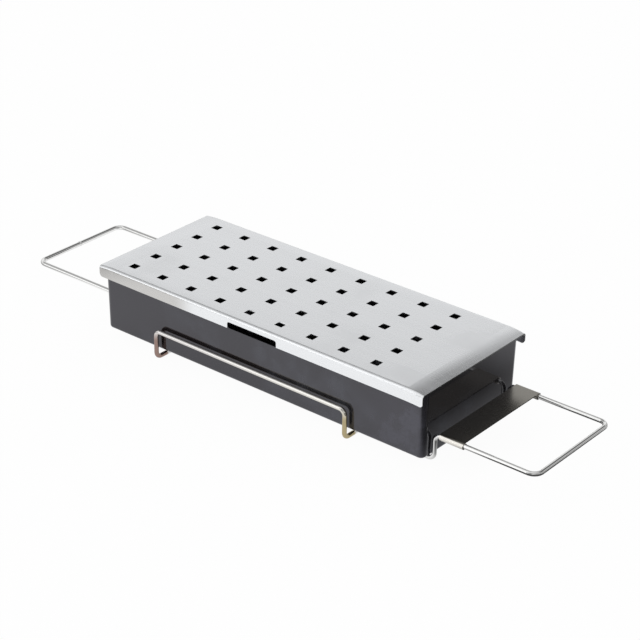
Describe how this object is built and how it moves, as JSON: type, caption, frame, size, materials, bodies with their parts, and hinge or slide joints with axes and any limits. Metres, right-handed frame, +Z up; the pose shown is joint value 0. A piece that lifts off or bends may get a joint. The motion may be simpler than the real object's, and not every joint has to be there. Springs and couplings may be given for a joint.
{
  "type": "grill smoker box",
  "caption": "Long enamelled tray for wood chips with a perforated lift-off steel lid, carried in a bent wire cradle that has a handle at each end, for smoking food on a grill.",
  "frame": {"origin": "on the standing plane, under the middle of the wire cradle", "axes": "+X along the length towards the handle with the plate, +Y to the back, +Z up"},
  "size_m": [0.4123, 0.1062, 0.0543],
  "materials": {
    "black_enamel": "gloss black enamel",
    "brushed_lid": "stainless sheet, finely brushed along the length",
    "plated_wire": "bright nickel plating",
    "bright_plate": "bright rolled steel sheet"
  },
  "bodies": {
    "cradle": {"left_front_arm": "plated_wire", "left_back_arm": "plated_wire", "front_rail": "plated_wire", "back_rail": "plated_wire", "right_handle": "plated_wire", "handle_plate": "bright_plate", "butt_weld": "plated_wire", "front_left_weld": "plated_wire", "front_right_weld": "plated_wire", "back_left_weld": "plated_wire", "back_right_weld": "plated_wire"},
    "tray": {"tray": "black_enamel"},
    "lid": {"lid": "brushed_lid"}
  },
  "joints": [
    {"name": "tray_lift", "type": "slide", "parent": "cradle", "child": "tray", "axis": [0, 0, 1], "range_m": [0, 0.06]},
    {"name": "lid_lift", "type": "slide", "parent": "tray", "child": "lid", "axis": [0, 0, 1], "range_m": [0, 0.06]}
  ]
}
